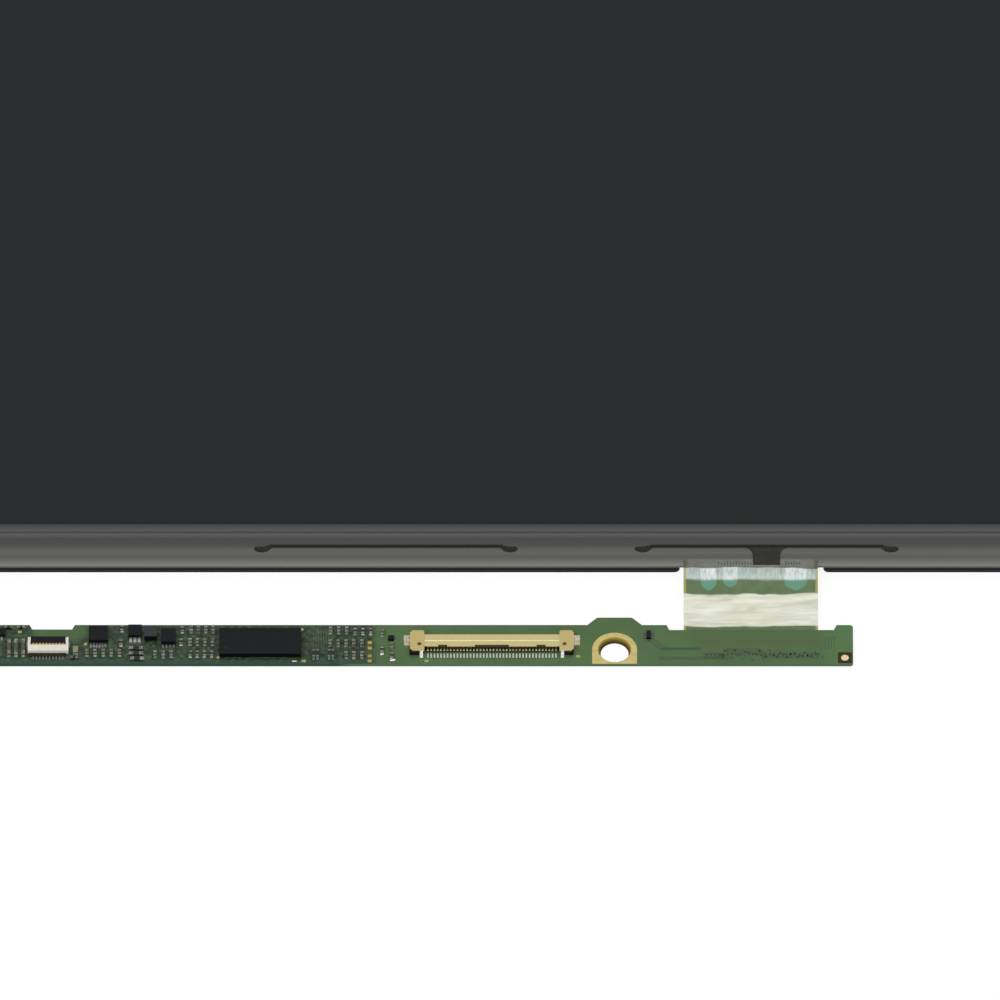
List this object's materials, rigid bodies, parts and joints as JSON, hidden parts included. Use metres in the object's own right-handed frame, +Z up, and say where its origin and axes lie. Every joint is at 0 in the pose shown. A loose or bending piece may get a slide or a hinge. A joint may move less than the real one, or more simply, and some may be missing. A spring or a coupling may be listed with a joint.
{
  "type": "laptop screen panel",
  "caption": "Flat 13.3-inch class display panel with glass, light box and tray, its long circuit board laid out flat on two flexible films, and a flip-latch ribbon socket.",
  "frame": {"origin": "middle of the outline, on the surface that the panel and the board lie on", "axes": "+X along the panel to its right, +Y from the board to the panel's far edge, +Z up out of the screen"},
  "size_m": [0.3, 0.1982, 0.002],
  "materials": {
    "tray_metal": "satin",
    "frame_plastic": "matt",
    "white_film": "gloss",
    "clear_acrylic": "gloss",
    "diffusing_film": "matt",
    "prism_film": "gloss",
    "lamp_package": "gloss",
    "black_tape": "matt",
    "polariser_film": "matt",
    "panel_glass": "gloss",
    "driver_silicon": "satin",
    "dark_resin": "satin",
    "board_laminate": "satin",
    "gold_plating": "satin",
    "flexible_film": "gloss",
    "contact_metal": "satin",
    "insulator_plastic": "matt",
    "tin_metal": "satin",
    "white_plastic": "matt",
    "latch_plastic": "matt",
    "chip_mould": "matt",
    "ferrite": "matt",
    "capacitor_ceramic": "satin",
    "resistor_ceramic": "satin",
    "fuse_ceramic": "satin"
  },
  "bodies": {
    "panel": {"rear_tray": "tray_metal", "mould_frame": "frame_plastic", "reflector_sheet": "white_film", "light_guide": "clear_acrylic", "diffuser_sheet": "diffusing_film", "lower_prism_sheet": "prism_film", "upper_prism_sheet": "prism_film", "led_strip": "white_film", "led_lamps": "lamp_package", "light_shield_tape": "black_tape", "rear_polariser": "polariser_film", "array_glass": "panel_glass", "filter_glass": "panel_glass", "front_polariser": "polariser_film", "source_drivers": "driver_silicon", "driver_resin": "dark_resin", "circuit_board": "board_laminate", "screw_lands": "gold_plating", "left_film": "flexible_film", "right_film": "flexible_film", "display_contacts": "contact_metal", "display_insulator": "insulator_plastic", "display_shell": "gold_plating", "display_clips": "tin_metal", "ribbon_contacts": "contact_metal", "ribbon_housing": "white_plastic", "ribbon_nails": "tin_metal", "timing_controller": "chip_mould", "power_converter": "chip_mould", "small_chips": "chip_mould", "power_coil": "ferrite", "chip_leads": "tin_metal", "small_capacitors": "capacitor_ceramic", "bulk_capacitors": "capacitor_ceramic", "resistors": "resistor_ceramic", "four_pole_parts": "resistor_ceramic", "input_fuse": "fuse_ceramic"},
    "latch": {"ribbon_latch": "latch_plastic"}
  },
  "joints": [
    {"name": "latch_flip", "type": "hinge", "parent": "panel", "child": "latch", "pos_m": [0.00125, -0.09508, 0.00105], "axis": [1, 0, 0], "range_deg": [0, 100]}
  ]
}
